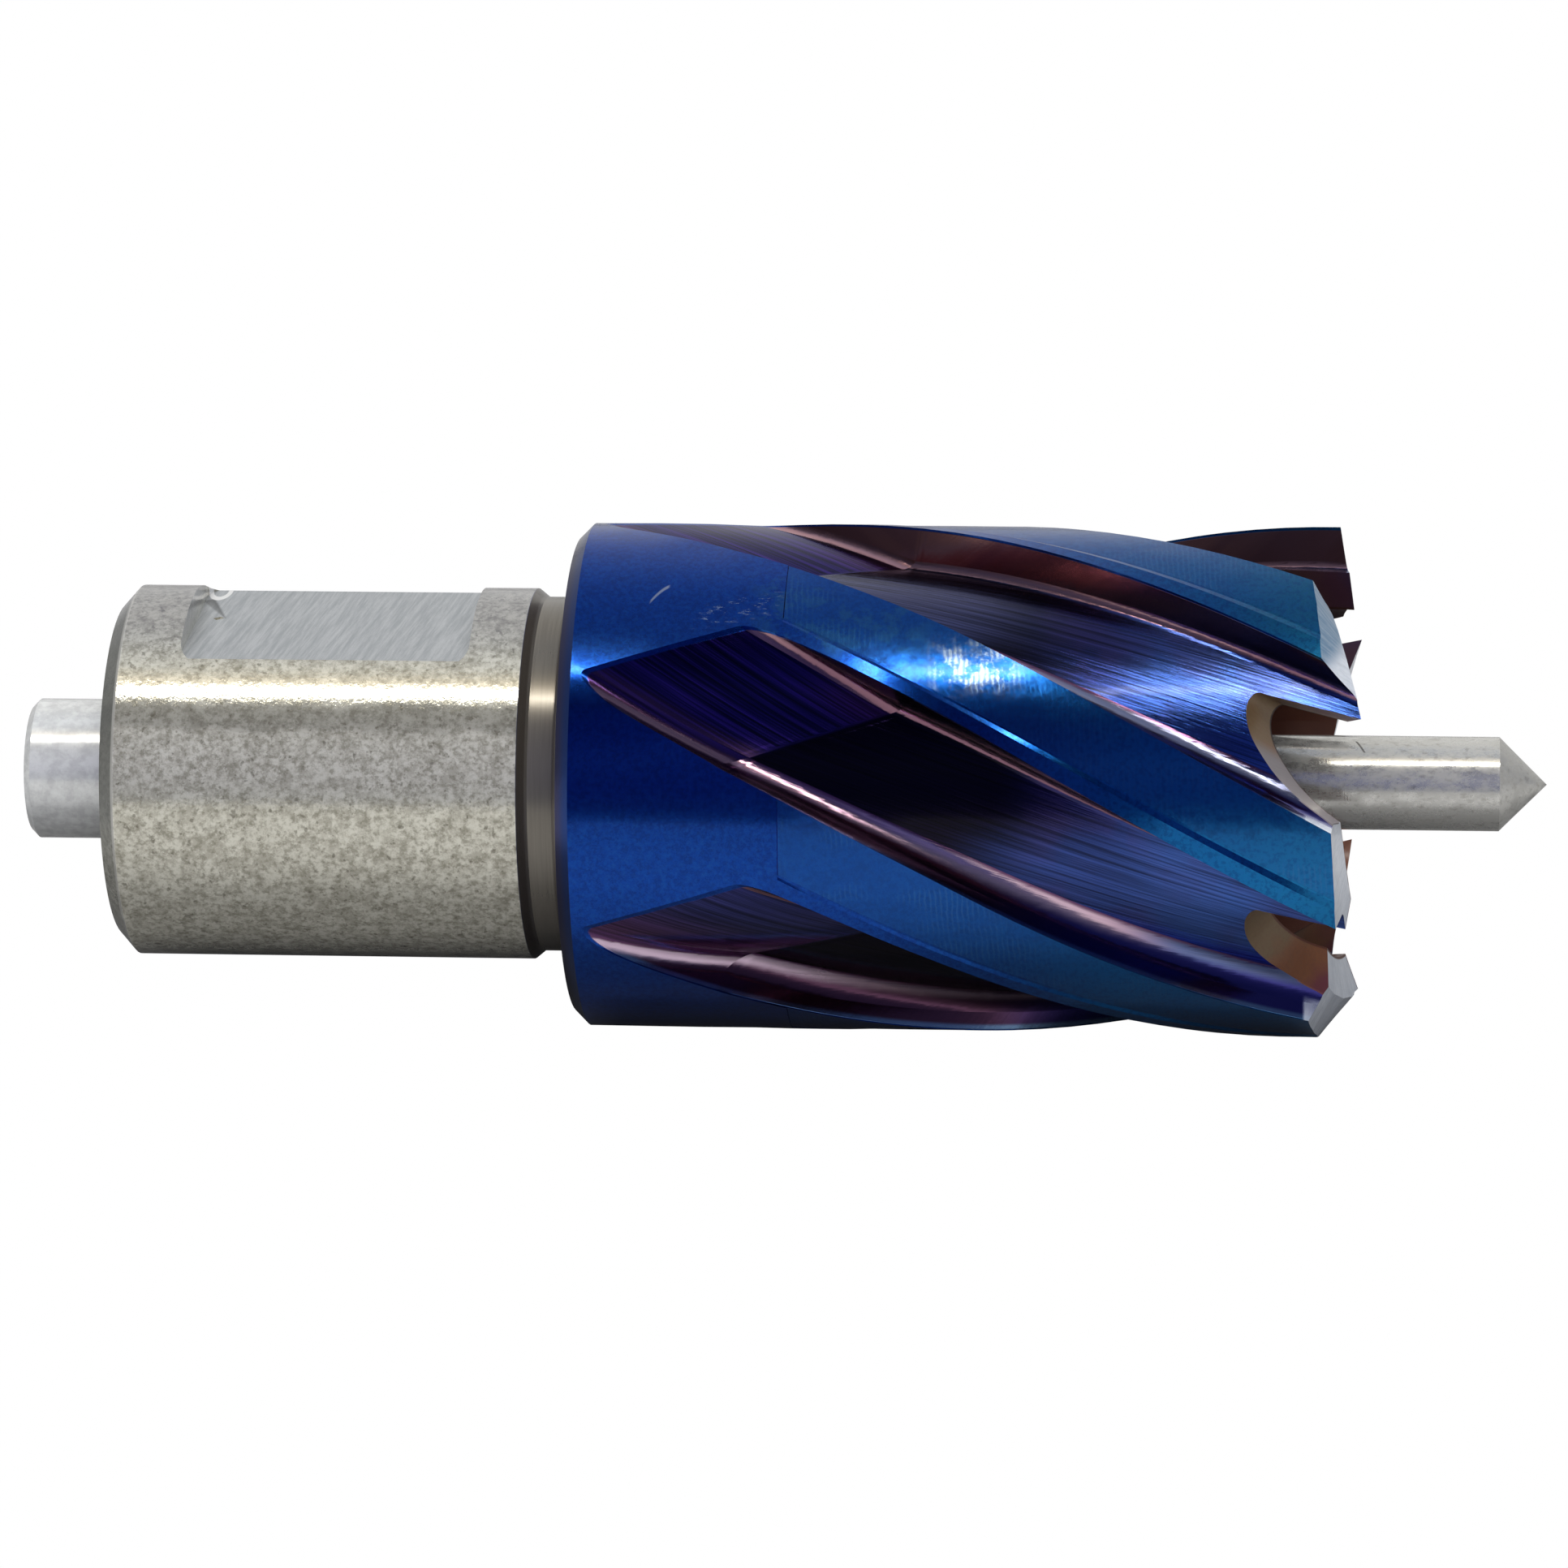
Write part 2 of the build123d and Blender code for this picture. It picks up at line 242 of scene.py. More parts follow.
    # the two flats: cooler, with diagonal grinding lines
    on_flat = t.math("MAXIMUM",
                     t.mul(t.ramp01(nz, 0.90, 0.97), t.ramp01(z, 8.10, 8.02), t.ramp01(z, 7.0, 7.5)),
                     t.mul(t.ramp01(ny, 0.90, 0.97), t.ramp01(y, 8.10, 8.02), t.ramp01(y, 7.0, 7.5)))
    on_flat = t.mul(on_flat, t.ramp01(x, 7.7, 7.55), t.ramp01(x, -7.4, -7.2))
    which = t.ramp01(nz, 0.4, 0.6)
    vv = t.lerp(which, z, y)
    across = t.math("SUBTRACT", t.mul(x, 0.993), t.mul(vv, 0.12))
    down = t.math("ADD", t.mul(x, 0.12), t.mul(vv, 0.993))
    lines = t.noise(t.vec(across, t.mul(down, 0.06), 0.0), 3.4, 5.0, 0.78)
    flat_col = t.mix(t.ramp01(lines, 0.34, 0.66), rgb(0.36, 0.385, 0.405), rgb(0.56, 0.58, 0.595))
    flat_col = t.mix(t.mul(t.ramp01(grain, 0.4, 0.7), 0.25), flat_col, rgb(0.36, 0.38, 0.39))
    steel = t.mix(on_flat, steel, flat_col)
    on_top = t.ramp01(z, 7.3, 7.6)
    gu = t.math("ADD", t.math("MULTIPLY", t.math("ADD", x, 7.05), 0.416), t.math("MULTIPLY", t.math("SUBTRACT", y, 3.7), -0.909))
    gv = t.math("ADD", t.math("MULTIPLY", t.math("ADD", x, 7.05), 0.909), t.math("MULTIPLY", t.math("SUBTRACT", y, 3.7), 0.416))
    gw = t.math("SUBTRACT", t.math("ABSOLUTE", gv), t.math("MULTIPLY_ADD", gu, -0.10, 0.36))
    gouge = t.mul(on_top, t.ramp01(gw, 0.06, -0.12), t.band(gu, 0.0, 3.1, 0.12))
    cu, cv = t.math("DIVIDE", t.math("ADD", x, 6.62), 0.62), t.math("DIVIDE", t.math("SUBTRACT", y, 5.10), 1.45)
    cr = t.math("SQRT", t.math("ADD", t.mul(cu, cu), t.mul(cv, cv)))
    curl = t.mul(on_top, t.ramp01(t.math("ABSOLUTE", t.math("SUBTRACT", cr, 0.80)), 0.24, 0.14), t.ramp01(cv, 0.10, 0.0), t.ramp01(y, 5.3, 5.2))
    steel = t.mix(t.mul(gouge, t.lerp(t.ramp01(gv, -0.2, 0.2), 0.55, 0.85)), steel, rgb(0.090, 0.095, 0.095))
    steel = t.mix(curl, steel, rgb(0.93, 0.93, 0.92))
    steel_rough = t.lerp(on_flat, steel_rough, t.lerp(lines, 0.34, 0.50))

    # neck: smooth turned grey-brown
    turned = t.noise(t.vec(t.mul(x, 9.0), t.mul(y, 0.25), t.mul(z, 0.25)), 1.0, 2.0, 0.6)
    neck = t.mix(turned, rgb(0.155, 0.140, 0.118), rgb(0.250, 0.230, 0.195))
    # painted shade: a dark band on the chamfer where the shank steps down to the neck
    neck = t.mix(t.mul(t.band(x, 10.15, 10.60, 0.06), 0.62), neck, rgb(0.060, 0.045, 0.032))
    neck = t.mix(t.mul(t.band(x, 11.95, 12.10, 0.05), 0.60), neck, rgb(0.07, 0.055, 0.050))

    # coated lands: deep blue, going to teal towards the teeth
    along = t.ramp01(x, 24.0, 50.0)
    land = t.mix(along, rgb(0.003, 0.066, 0.430), rgb(0.004, 0.120, 0.330))
    land = t.mix(t.mul(t.ramp01(mid, 0.40, 0.70), 0.35), land, rgb(0.003, 0.042, 0.300))
    land = t.mix(t.mul(t.ramp01(fine, 0.42, 0.72), 0.26), land, rgb(0.016, 0.110, 0.420))
    land = t.mix(t.mul(t.ramp01(grain, 0.46, 0.66), 0.34), land, rgb(0.002, 0.028, 0.190))
    land = t.mix(t.mul(t.ramp01(x, 44.0, 51.0), t.lerp(t.ramp01(mid, 0.40, 0.64), 0.55, 0.80)), land, rgb(0.016, 0.190, 0.275))
    land = t.mix(t.mul(t.ramp01(x, 35.0, 42.0), t.ramp01(z, 11.5, 9.6), 0.55), land, rgb(0.006, 0.235, 0.640))
    motes = t.noise(p, 4.0, 3.0, 0.65)
    land = t.mix(t.mul(t.ramp01(motes, 0.46, 0.62), 0.40), land, rgb(0.002, 0.030, 0.200))
    land = t.mix(t.mul(t.ramp01(motes, 0.46, 0.36), 0.25), land, rgb(0.010, 0.120, 0.470))
    blotch = t.mul(t.ramp01(t.noise(p, 0.8, 5.0, 0.72), 0.48, 0.60), t.band(x, 22.5, 31.0, 1.2), t.band(ang, 50.0, 72.0, 4.0))
    land = t.mix(t.mul(blotch, 0.45), land, rgb(0.035, 0.170, 0.360))
    # ground ledge: lighter blue crossed by chatter marks
    wave = t.math("SINE", t.math("MULTIPLY", t.math("ADD", t.math("ADD", x, t.mul(mid, 0.30)), t.mul(off, 0.012)), 2.0 * math.pi / 0.27))
    chatter = t.mul(t.ramp01(wave, 0.0, 0.9), ledge, t.ramp01(t.noise(t.vec(t.mul(x, 0.35), y, z), 0.5, 2.0, 0.5), 0.44, 0.62))
    land = t.mix(t.mul(ledge, 0.30), land, rgb(0.018, 0.130, 0.400))
    land = t.mix(t.mul(chatter, 0.26), land, rgb(0.050, 0.200, 0.480))
    # painted highlight: the step down to the ledge is painted bright along its far half
    step_painted_highlight = t.mul(t.band(off, -37.2, -33.8, 0.3), t.ramp01(r, 12.80, 12.84), t.ramp01(x, 32.0, 37.0), t.ramp01(nr, 0.999, 0.990))
    land = t.mix(t.mul(step_painted_highlight, 0.80), land, t.mix(t.ramp01(x, 38.0, 41.0), rgb(0.120, 0.480, 0.920), rgb(0.012, 0.170, 0.360)))
    # painted highlight: a whiter, chatter-streaked patch on the ledge where the strip light's highlight lies
    ledge_painted_highlight = t.mul(ledge, t.band(x, 31.4, 35.2, 0.8), t.band(ang, 40.0, 53.0, 2.5), t.ramp01(t.noise(t.vec(t.mul(x, 0.9), y, z), 1.1, 4.0, 0.7), 0.42, 0.60), t.lerp(t.ramp01(wave, -0.7, 0.5), 0.45, 1.0))
    land = t.mix(t.mul(ledge_painted_highlight, 0.75), land, rgb(0.300, 0.390, 0.520))

    # scuffs and a fine curved scratch on the plain band behind the flutes
    sc_n = t.ramp01(t.noise(t.vec(t.mul(x, 0.7), t.mul(y, 2.6), t.mul(z, 2.6)), 2.4, 4.0, 0.7), 0.56, 0.68)
    scuff = t.mul(sc_n, t.band(x, 19.4, 23.4, 0.6), t.band(t.math("SUBTRACT", ang, t.math("MULTIPLY", x, 1.2)), 32.0, 39.0, 1.5), 0.85)
    bend = t.math("SUBTRACT", x, 16.90)
    arc = t.math("SUBTRACT", t.math("SUBTRACT", ang, 62.9), t.math("ADD", t.math("MULTIPLY", bend, 8.2), t.math("MULTIPLY", t.mul(bend, bend), -2.9)))
    scratch = t.mul(t.ramp01(t.math("ABSOLUTE", arc), 0.75, 0.25), t.band(x, 16.92, 17.78, 0.08))
    land = t.mix(scuff, land, rgb(0.26, 0.36, 0.58))
    land = t.mix(t.mul(scratch, 0.65), land, rgb(0.60, 0.66, 0.78))

    # flutes: streaks run a little flatter than the edges, and steeper in the run-out
    here = t.math("ADD", off, LEAD0)
    way = t.lerp(ramp, t.math("MULTIPLY_ADD", x, TWIST + 1.82, here), t.math("MULTIPLY_ADD", x, TWIST + 2.70, here))
    streak = t.noise(t.vec(way, t.mul(x, 0.06), t.mul(ramp, 7.0)), 1.15, 4.0, 0.70)
    streak2 = t.noise(t.vec(way, t.mul(x, 0.12), 3.0), 0.42, 3.0, 0.6)
    floor_c = t.mix(t.ramp01(x, 34.0, 42.0), rgb(0.005, 0.003, 0.015), rgb(0.020, 0.038, 0.170))
    floor_c = t.mix(t.mul(t.ramp01(z, 2.27, -0.38), t.ramp01(x, 31.0, 38.0)), floor_c, rgb(0.030, 0.060, 0.240))
    floor_c = t.mix(t.ramp01(x, 39.0, 46.0), floor_c, rgb(0.050, 0.120, 0.420))
    floor_c = t.mix(t.mul(t.ramp01(big, 0.42, 0.62), t.ramp01(x, 34.0, 38.0), 0.28), floor_c, rgb(0.075, 0.040, 0.160))
    # a greyer, lilac tint in the flutes on one side
    floor_c = t.mix(t.mul(t.band(ang, 60.0, 100.0, 7.0), t.band(x, 20.0, 35.0, 4.0), 0.75), floor_c, rgb(0.075, 0.085, 0.210))
    ramp_c = t.mix(t.ramp01(streak, 0.42, 0.68), rgb(0.010, 0.006, 0.100), rgb(0.040, 0.018, 0.190))
    ramp_c = t.mix(t.mul(t.ramp01(s, 3.5, 7.8), t.ramp01(off, -14.0, -2.0), 0.5), ramp_c, rgb(0.090, 0.020, 0.060))
    ramp_c = t.mix(t.mul(t.ramp01(z, 1.6, -2.4), 0.85), ramp_c, t.mix(t.ramp01(off, -12.0, -30.0), rgb(0.050, 0.060, 0.240), rgb(0.150, 0.060, 0.180)))
    streak_k = t.lerp(t.ramp01(streak, 0.30, 0.70), 0.35, 1.75)
    floor_c = t.mix(ramp, floor_c, ramp_c)
    shade = t.new("ShaderNodeVectorMath", operation="SCALE")
    t.put(shade.inputs[0], floor_c)
    t.put(shade.inputs["Scale"], streak_k)
    floor_c = shade.outputs[0]
    low = t.ramp01(off, -26.0, -31.0)                     # the heel side of the flute
    heel_side = t.mul(t.ramp01(off, -24.0, -28.0), t.ramp01(nt, 0.06, 0.16))
    far_on = t.ramp01(x, 33.0, 39.0)
    rose = t.mix(t.ramp01(streak, 0.3, 0.7), rgb(0.680, 0.420, 0.520), rgb(0.460, 0.270, 0.460))
    # painted highlight: the rose made brighter where the heel highlight runs along the middle of the flute
    rose = t.mix(t.mul(t.band(x, 28.0, 41.0, 3.0), t.ramp01(z, 5.3, 3.7)), rose, rgb(0.900, 0.640, 0.780))
    lower_rear = t.mul(t.ramp01(z, 0.84, -1.67), t.ramp01(x, 30.0, 24.0))
    # painted highlight: the rose made brighter where the heel highlight runs low at the rear
    rose = t.mix(lower_rear, rose, rgb(0.900, 0.680, 0.860))
    rose = t.mix(t.mul(far_on, t.ramp01(z, 0.0, 2.5)), rose, rgb(0.330, 0.360, 0.560))
    rose = t.mix(t.mul(t.ramp01(x, 39.5, 44.0), t.ramp01(z, 2.2, -1.1), 0.85), rose, rgb(0.110, 0.210, 0.480))
    heel_a = t.mix(far_on, rgb(0.150, 0.060, 0.120), rgb(0.060, 0.055, 0.330))
    heel_b = t.mix(far_on, rgb(0.034, 0.016, 0.095), rgb(0.045, 0.080, 0.430))
    heel_c = t.mix(t.ramp01(nt, 0.52, 0.78), rose, heel_a)
    heel_c = t.mix(t.ramp01(nt, 0.88, 0.985), heel_c, heel_b)
    # painted highlight: a bright light-blue line along the heel edge
    heel_c = t.mix(t.mul(t.ramp01(r, 12.50, 12.72), t.ramp01(nt, 0.5, 0.8), 0.95), heel_c, rgb(0.280, 0.470, 0.780))
    heel_c = t.mix(t.ramp01(nt, 0.27, 0.15), heel_c, rgb(0.200, 0.085, 0.190))
    flute = t.mix(t.mul(low, t.ramp01(nr, 0.995, 0.94), t.lerp(t.ramp01(x, 34.0, 41.0), 0.6, 0.25)), floor_c, rgb(0.200, 0.090, 0.210))
    flute = t.mix(heel_side, flute, heel_c)
    # leading side: a thin rose line at the foot and a dark wall above it, both with painted shade: darker low on the
    # tool, brighter high up
    foot = t.mul(t.ramp01(off, -3.6, -2.8), t.ramp01(nt, -0.34, -0.44))
    lofty = t.math("MULTIPLY_ADD", z, 0.866, t.mul(y, 0.5))            # height above a plane that leans to the camera
    # painted shade: the wall near-black low on the tool, copper high up
    wall_c = t.mix(t.ramp01(lofty, 6.0, 8.9), rgb(0.016, 0.005, 0.014), t.mix(t.ramp01(streak2, 0.4, 0.6), rgb(0.170, 0.050, 0.030), rgb(0.270, 0.095, 0.050)))
    # painted shade: the foot line dimmer low on the tool, brighter high up
    foot_c = t.mix(t.ramp01(nt, -0.74, -0.94), t.mix(t.ramp01(lofty, 3.7, 6.4), rgb(0.320, 0.160, 0.220), rgb(0.640, 0.360, 0.400)), wall_c)
    flute = t.mix(foot, flute, foot_c)

    # gaps ahead of the teeth: straw to brown to purple heat tints
    tint = t.noise(p, 0.55, 2.0, 0.5)
    warm = t.math("ADD", px, t.mul(t.math("SUBTRACT", tint, 0.5), 3.0))
    gap = t.mix(t.ramp01(warm, 24.2, 25.4), rgb(0.185, 0.120, 0.060), rgb(0.230, 0.092, 0.042))
    gap = t.mix(t.ramp01(warm, 25.6, 27.4), gap, rgb(0.170, 0.045, 0.062))
    gap = t.mix(t.ramp01(warm, 27.6, 29.6), gap, rgb(0.085, 0.035, 0.140))
    gap = t.mix(t.mul(t.ramp01(fine, 0.4, 0.7), 0.25), gap, rgb(0.150, 0.070, 0.045))
    gap = t.mix(t.mul(t.ramp01(ang, -14.0, 0.0), t.ramp01(py, -0.9, -2.0), 0.85), gap, rgb(0.230, 0.215, 0.240))
    # painted shade: the gaps high on the far side go near-black
    gap = t.mix(t.mul(t.ramp01(ang, 72.0, 92.0), 0.85), gap, rgb(0.020, 0.010, 0.022))
    bore_c = t.mix(tint, rgb(0.085, 0.026, 0.018), rgb(0.150, 0.052, 0.030))
    # painted shade: the bore and cavity near-black in their upper half
    bore_c = t.mix(t.mul(t.ramp01(z, 0.0, 4.0), 0.85), bore_c, rgb(0.010, 0.003, 0.003))

    # ground tooth ends: bare silver, going dark blue high on the tool
    silver = t.mix(t.noise(t.vec(t.mul(x, 0.5), y, z), 2.4, 3.0, 0.6), rgb(0.62, 0.68, 0.77), rgb(0.90, 0.94, 1.0))
    grind = t.noise(t.vec(t.mul(r, 0.5), t.mul(phi, 1.1), 0.0), 1.0, 4.0, 0.75)
    silver = t.mix(t.mul(t.ramp01(grind, 0.45, 0.65), 0.40), silver, rgb(0.46, 0.50, 0.58))
    silver = t.mix(t.mul(t.ramp01(z, 8.9, 9.9), t.lerp(t.ramp01(grind, 0.42, 0.62), 0.92, 0.70)), silver, rgb(0.080, 0.200, 0.340))

    col = t.mix(is_shank, land, steel)
    col = t.mix(is_neck, col, neck)
    col = t.mix(is_chamfer, col, t.mix(t.ramp01(x, 12.55, 13.10), rgb(0.060, 0.062, 0.150), rgb(0.018, 0.060, 0.260)))
    col = t.mix(in_flute, col, flute)
    col = t.mix(end_face, col, silver)
    col = t.mix(in_gap, col, gap)
    col = t.mix(inside, col, bore_c)

    rough = t.lerp(is_shank, t.lerp(mid, 0.13, 0.20), steel_rough)
    rough = t.lerp(is_neck, rough, 0.24)
    rough = t.lerp(ledge, rough, t.lerp(fine, 0.15, 0.26))
    rough = t.lerp(in_flute, rough, t.lerp(streak, 0.13, 0.22))
    heel_band = t.mul(in_flute, low, t.ramp01(nt, 0.03, 0.12), t.ramp01(nt, 0.86, 0.70))
    rough = t.lerp(heel_band, rough, t.lerp(lower_rear, t.lerp(streak, 0.12, 0.21), t.lerp(streak, 0.24, 0.34)))
    rough = t.lerp(step_painted_highlight, rough, 0.50)
    rough = t.lerp(end_face, rough, 0.34)
    rough = t.lerp(in_gap, rough, 0.38)
    rough = t.lerp(inside, rough, 0.48)
    rough = t.math("ADD", rough, t.mul(scuff, 0.25))

    metal = t.lerp(is_shank, 1.0, t.lerp(on_flat, 0.54, 0.70))
    metal = t.lerp(is_neck, metal, 0.70)
    metal = t.lerp(end_face, metal, 0.30)
    metal = t.lerp(t.mul(step_painted_highlight, t.ramp01(x, 38.0, 41.0)), metal, 0.30)
    metal = t.lerp(t.math("MAXIMUM", in_gap, inside), metal, 0.45)

    # height, evaluated three times over by the bump, so it holds only what shows in relief:
    # specks, grinding lines, chatter marks on the ledge, streaks along the flutes
    h = t.mul(t.math("SUBTRACT", t.noise(p, 5.0, 3.0, 0.6), 0.5), is_shank, t.lerp(on_flat, 0.8, 0.0))
    h = t.math("ADD", h, t.mul(lines, on_flat, 0.7))
    wobble = t.noise(t.vec(x, t.mul(y, 0.8), t.mul(z, 0.8)), 0.75, 2.0, 0.5)
    h = t.math("ADD", h, t.mul(chatter, 0.30))
    h = t.math("ADD", h, t.mul(wobble, ledge, 3.2))
    h = t.math("ADD", h, t.mul(t.math("ADD", t.mul(streak, 1.0), t.mul(streak2, 1.2)), in_flute, t.lerp(ramp, 1.25, 0.35),
                               t.math("SUBTRACT", 1.0, t.band(s, 7.75, 8.45, 0.12)))) 
    h = t.math("ADD", h, t.mul(fine, 0.10))
    h = t.math("ADD", h, t.mul(grind, end_face, 0.8))
    h = t.math("ADD", h, t.mul(mid, t.math("SUBTRACT", 1.0, is_shank), 0.25))
    bump = t.new("ShaderNodeBump")
    bump.inputs["Strength"].default_value = 0.55
    bump.inputs["Distance"].default_value = 0.00002
    t.put(bump.inputs["Height"], h)

    t.put(bsdf.inputs["Metallic"], metal)
    t.put(bsdf.inputs["Base Color"], col)
    t.put(bsdf.inputs["Roughness"], rough)
    t.put(bsdf.inputs["Normal"], bump.outputs[0])
    bsdf.inputs["Coat Weight"].default_value = 0.25
    bsdf.inputs["Coat Roughness"].default_value = 0.12
    return m


# ---- the pin -----------------------------------------------------------------------
def pin_material():
    m, t, bsdf = material("ground_pin_steel")
    x, y, z, r, ang, nx, ny, nz, nr = frame_coords(t)
    p = t.vec(x, y, z)
    patch = t.ramp01(t.noise(t.vec(t.mul(x, 0.55), y, z), 1.7, 5.0, 0.72), 0.36, 0.64)
    speck = t.ramp01(t.noise(t.vec(t.mul(x, 0.6), y, z), 4.0, 3.0, 0.65), 0.52, 0.70)
    col = t.mix(patch, rgb(0.52, 0.515, 0.48), rgb(0.72, 0.715, 0.675))
    col = t.mix(t.mul(speck, 0.45), col, rgb(0.30, 0.285, 0.25))
    head = t.ramp01(x, -7.0, -8.0)
    haze = t.noise(p, 1.6, 4.0, 0.65)
    col = t.mix(t.mul(head, 0.75), col, t.mix(t.ramp01(haze, 0.38, 0.64), rgb(0.62, 0.635, 0.640), rgb(0.80, 0.815, 0.820)))
    on_end = t.ramp01(nx, -0.85, -0.95)
    rings = t.noise(t.vec(t.math("MULTIPLY", r, 5.0), t.math("ABSOLUTE", t.mul(ang, 0.004)), 0.0), 1.0, 4.0, 0.7)
    col = t.mix(t.mul(on_end, t.ramp01(rings, 0.42, 0.60), 0.50), col, rgb(0.42, 0.425, 0.43))
    turned = t.noise(t.vec(t.mul(x, 10.0), t.mul(y, 0.3), t.mul(z, 0.3)), 1.0, 3.0, 0.6)
    cone = t.ramp01(nx, 0.45, 0.60)
    rough = t.lerp(patch, 0.22, 0.14)
    h = t.math("ADD", t.math("ADD", t.mul(turned, 0.30), t.mul(t.noise(p, 5.0, 3.0, 0.6), 0.25)), t.mul(rings, on_end, 1.2))
    # one short dark scratch across the shaft, near the teeth
    sx = t.math("SUBTRACT", x, 52.35)
    sa = t.math("SUBTRACT", ang, 70.8)
    off = t.math("ABSOLUTE", t.math("ADD", sx, t.mul(sa, 0.021)))
    scratch = t.mul(t.ramp01(off, 0.07, 0.03), t.ramp01(t.math("ABSOLUTE", sa), 11.5, 9.5))
    col = t.mix(t.mul(scratch, 0.8), col, rgb(0.10, 0.09, 0.08))
    h = t.math("SUBTRACT", h, t.mul(scratch, 1.0))
    bump = t.new("ShaderNodeBump")
    bump.inputs["Strength"].default_value = 0.5
    bump.inputs["Distance"].default_value = 0.00002
    t.put(bump.inputs["Height"], h)
    t.put(bsdf.inputs["Metallic"], t.lerp(head, t.lerp(patch, 0.55, 0.80), 0.45))
    t.put(bsdf.inputs["Base Color"], col)
    t.put(bsdf.inputs["Roughness"], t.lerp(cone, rough, 0.38))
    t.put(bsdf.inputs["Normal"], bump.outputs[0])
    return m


for obj, mat in ((body, cutter_material()), (pin, pin_material())):
    obj.data.materials.clear()
    obj.data.materials.append(mat)

# ---- floor -------------------------------------------------------------------------
bpy.ops.mesh.primitive_plane_add(size=8.0, location=(0.02, 0.0, cad_lo.z - 0.0002))
floor = bpy.context.object
floor.name = "floor"
fm, ft, fb = material("pale_floor")
# seen directly the floor is plain white, with no shadow; in the metal's reflections it carries
# a painted shadow, darker under the tool
fp = ft.new("ShaderNodeTexCoord").outputs["Object"]
fs = ft.new("ShaderNodeSeparateXYZ")
ft.put(fs.inputs[0], fp)
fx = ft.math("MAXIMUM", ft.math("SUBTRACT", ft.math("ABSOLUTE", ft.math("SUBTRACT", fs.outputs[0], 0.003)), 0.039), 0.0)
fd = ft.math("SQRT", ft.math("ADD", ft.mul(fx, fx), ft.mul(fs.outputs[1], fs.outputs[1])))
shade = ft.new("ShaderNodeValToRGB")
ft.put(shade.inputs[0], ft.math("MULTIPLY", fd, 5.0))
for i, (dist, v) in enumerate(((0.0, 0.10), (0.014, 0.16), (0.022, 0.33), (0.034, 0.41), (0.120, 0.34))):
    e = shade.color_ramp.elements[0] if i == 0 else shade.color_ramp.elements[1] if i == 1 else shade.color_ramp.elements.new(dist * 5.0)
    e.position = dist * 5.0
    e.color = (v, v, v, 1.0)
ft.put(fb.inputs["Base Color"], shade.outputs["Color"])
fb.inputs["Roughness"].default_value = 0.9
fb.inputs["Specular IOR Level"].default_value = 0.1
plain = ft.new("ShaderNodeEmission")
plain.inputs["Color"].default_value = (1.0, 1.0, 1.0, 1.0)
floor_mix = ft.new("ShaderNodeMixShader")
ft.put(floor_mix.inputs[0], ft.new("ShaderNodeLightPath").outputs["Is Camera Ray"])
ft.l.new(fb.outputs[0], floor_mix.inputs[1])
ft.l.new(plain.outputs[0], floor_mix.inputs[2])
ft.l.new(floor_mix.outputs[0], next(n for n in ft.n if n.type == "OUTPUT_MATERIAL").inputs["Surface"])
fm.cycles.emission_sampling = "NONE"
floor.data.materials.append(fm)

# ---- surroundings: a soft studio whose brightness changes only with height -----------
world = bpy.data.worlds.new("studio")
scene.world = world
world.use_nodes = True
w = Tree(world.node_tree)
bg = next(n for n in w.n if n.type == "BACKGROUND")
d = w.new("ShaderNodeTexCoord").outputs["Generated"]
sd = w.new("ShaderNodeSeparateXYZ")
w.put(sd.inputs[0], d)
around = w.math("MULTIPLY", w.math("ARCTAN2", sd.outputs[2], w.math("MULTIPLY", sd.outputs[1], -1.0)), 180.0 / math.pi)


def ramp_of(stops):
    ramp = w.new("ShaderNodeValToRGB")
    w.put(ramp.inputs[0], w.math("DIVIDE", w.math("ADD", around, 180.0), 360.0))
    els = ramp.color_ramp.elements
    while len(els) > 1:
        els.remove(els[-1])
    for i, (deg, v) in enumerate(stops):
        e = els[0] if i == 0 else els.new((deg + 180.0) / 360.0)
        e.position = (deg + 180.0) / 360.0
        e.color = (*v, 1.0) if isinstance(v, tuple) else (v, v, v, 1.0)
    return ramp.outputs["Color"]


middle = ramp_of([(-180, 0.6), (-90, 0.7), (-6, 0.36), (4, (0.080, 0.095, 0.180)), (15, (0.060, 0.070, 0.18)), (27, (0.095, 0.105, 0.22)),
                  (38, (0.050, 0.058, 0.16)), (50, (0.022, 0.028, 0.10)), (63, (0.018, 0.022, 0.06)), (66.5, (0.16, 0.16, 0.17)), (74.0, (1.45, 1.2, 0.88)),
                  (81, (0.60, 0.53, 0.42)), (88, (0.26, 0.28, 0.33)), (110, (0.34, 0.37, 0.43)), (132, 0.56), (165, 0.66), (180, 0.6)])
sides = ramp_of([(-180, 0.6), (-90, 0.7), (-6, 0.36), (6, (0.12, 0.13, 0.18)), (20, (0.08, 0.09, 0.14)), (60, (0.05, 0.06, 0.10)),
                 (120, (0.10, 0.11, 0.14)), (180, 0.45)])
edge = w.ramp01(w.math("ABSOLUTE", w.math("SUBTRACT", sd.outputs[0], 0.0)), 0.26, 0.42)
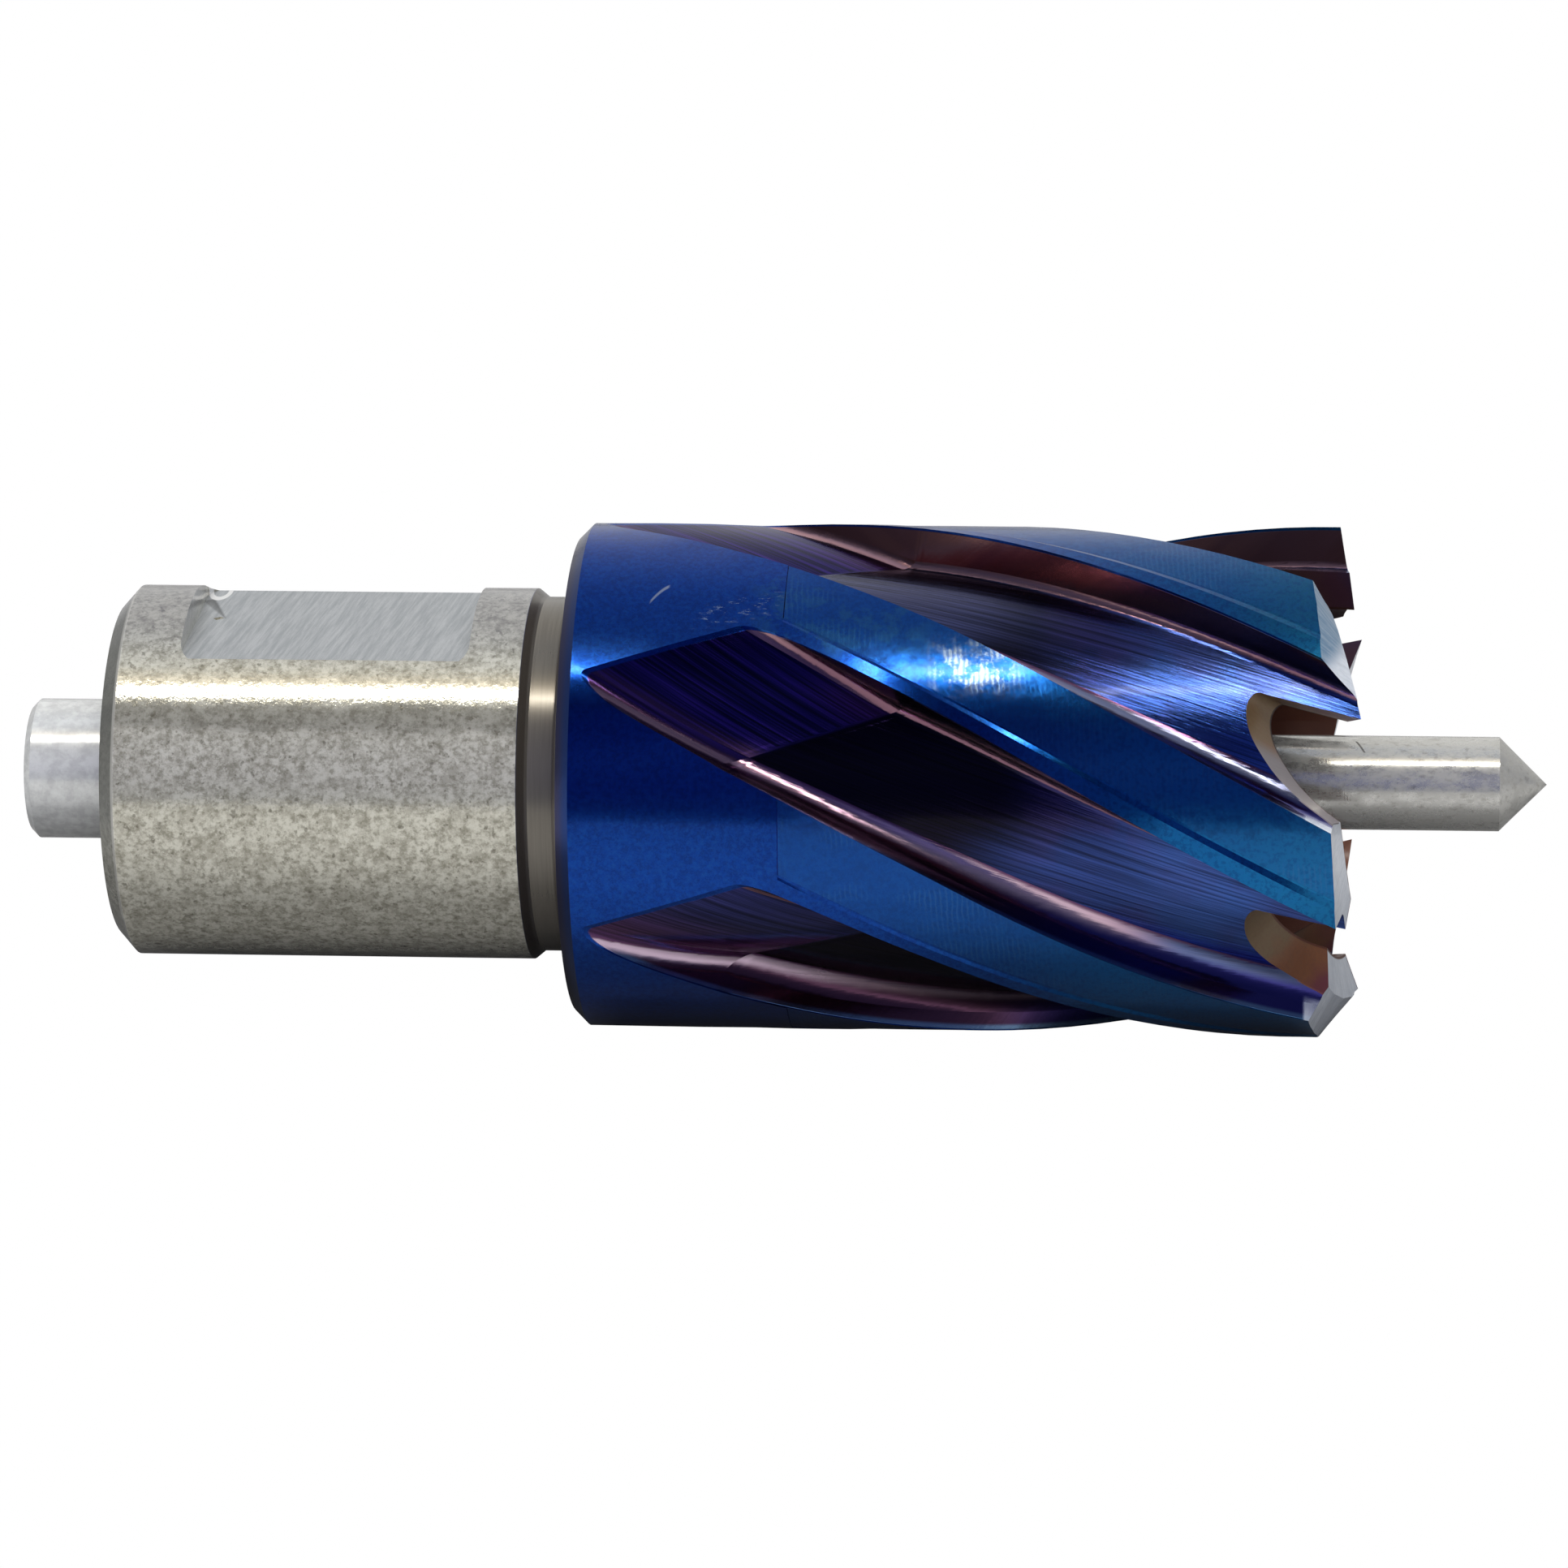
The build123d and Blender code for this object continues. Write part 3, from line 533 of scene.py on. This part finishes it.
# one long narrow light above and in front
strip = w.mul(w.ramp01(around, 67.6, 68.6), w.ramp01(around, 73.0, 72.0), w.ramp01(edge, 1.0, 0.0))
lit = w.new("ShaderNodeMix", data_type="RGBA", blend_type="ADD")
lit.inputs[0].default_value = 1.0
w.put(lit.inputs[6], w.mix(edge, middle, sides))
w.put(lit.inputs[7], w.mix(strip, rgb(0, 0, 0), rgb(16.0, 15.5, 14.2)))
w.put(bg.inputs["Color"], lit.outputs[2])
bg.inputs["Strength"].default_value = 1.0


def area(name, location, target, size, power, size_y=None, glossy=True, color=(1, 1, 1)):
    light = bpy.data.lights.new(name, "AREA")
    light.energy = power
    light.color = color
    light.shape = "RECTANGLE"
    light.size = size
    light.size_y = size_y or size
    o = bpy.data.objects.new(name, light)
    scene.collection.objects.link(o)
    o.location = location
    o.rotation_euler = (Vector(target) - Vector(location)).to_track_quat("-Z", "Y").to_euler()
    o.visible_glossy = glossy
    return o


# soft overhead light for the floor, kept out of the metal's reflections
area("soft_top", (0.02, -0.2, 1.2), (0.02, 0, 0), 1.8, 24.0, 1.8, glossy=False)
# fill from the camera's side for the bare steel
area("front_fill", (0.02, -0.9, 0.35), (0.02, 0, 0), 0.9, 3.0, 0.6, glossy=False)

# ---- camera ------------------------------------------------------------------------
AZ, EL, ROLL = math.radians(4.73), math.radians(21.0), math.radians(0.65)
DIST, FPX, SIDE = 0.356, 8554.0, 1932.0
centre = Vector((0.02292, 0.0, 0.0))
back = Vector((math.sin(AZ), -math.cos(AZ) * math.cos(EL), math.cos(AZ) * math.sin(EL)))
right = Vector((math.cos(AZ), math.sin(AZ) * math.cos(EL), -math.sin(AZ) * math.sin(EL)))
up = back.cross(right)
right2 = right * math.cos(ROLL) + up * math.sin(ROLL)
up2 = up * math.cos(ROLL) - right * math.sin(ROLL)
cam_data = bpy.data.cameras.new("camera")
cam = bpy.data.objects.new("camera", cam_data)
scene.collection.objects.link(cam)
cam_data.sensor_fit = "HORIZONTAL"
cam_data.sensor_width = 36.0
cam_data.lens = FPX / SIDE * 36.0
cam_data.clip_start, cam_data.clip_end = 0.01, 20.0
cam_data.dof.use_dof = False
place = centre + back * DIST - up2 * (9.7 * DIST / FPX)
rot = Matrix((right2, up2, back)).transposed().to_4x4()
cam.matrix_world = Matrix.Translation(place) @ rot
scene.camera = cam

scene.view_settings.view_transform = "Standard"
scene.view_settings.look = "None"
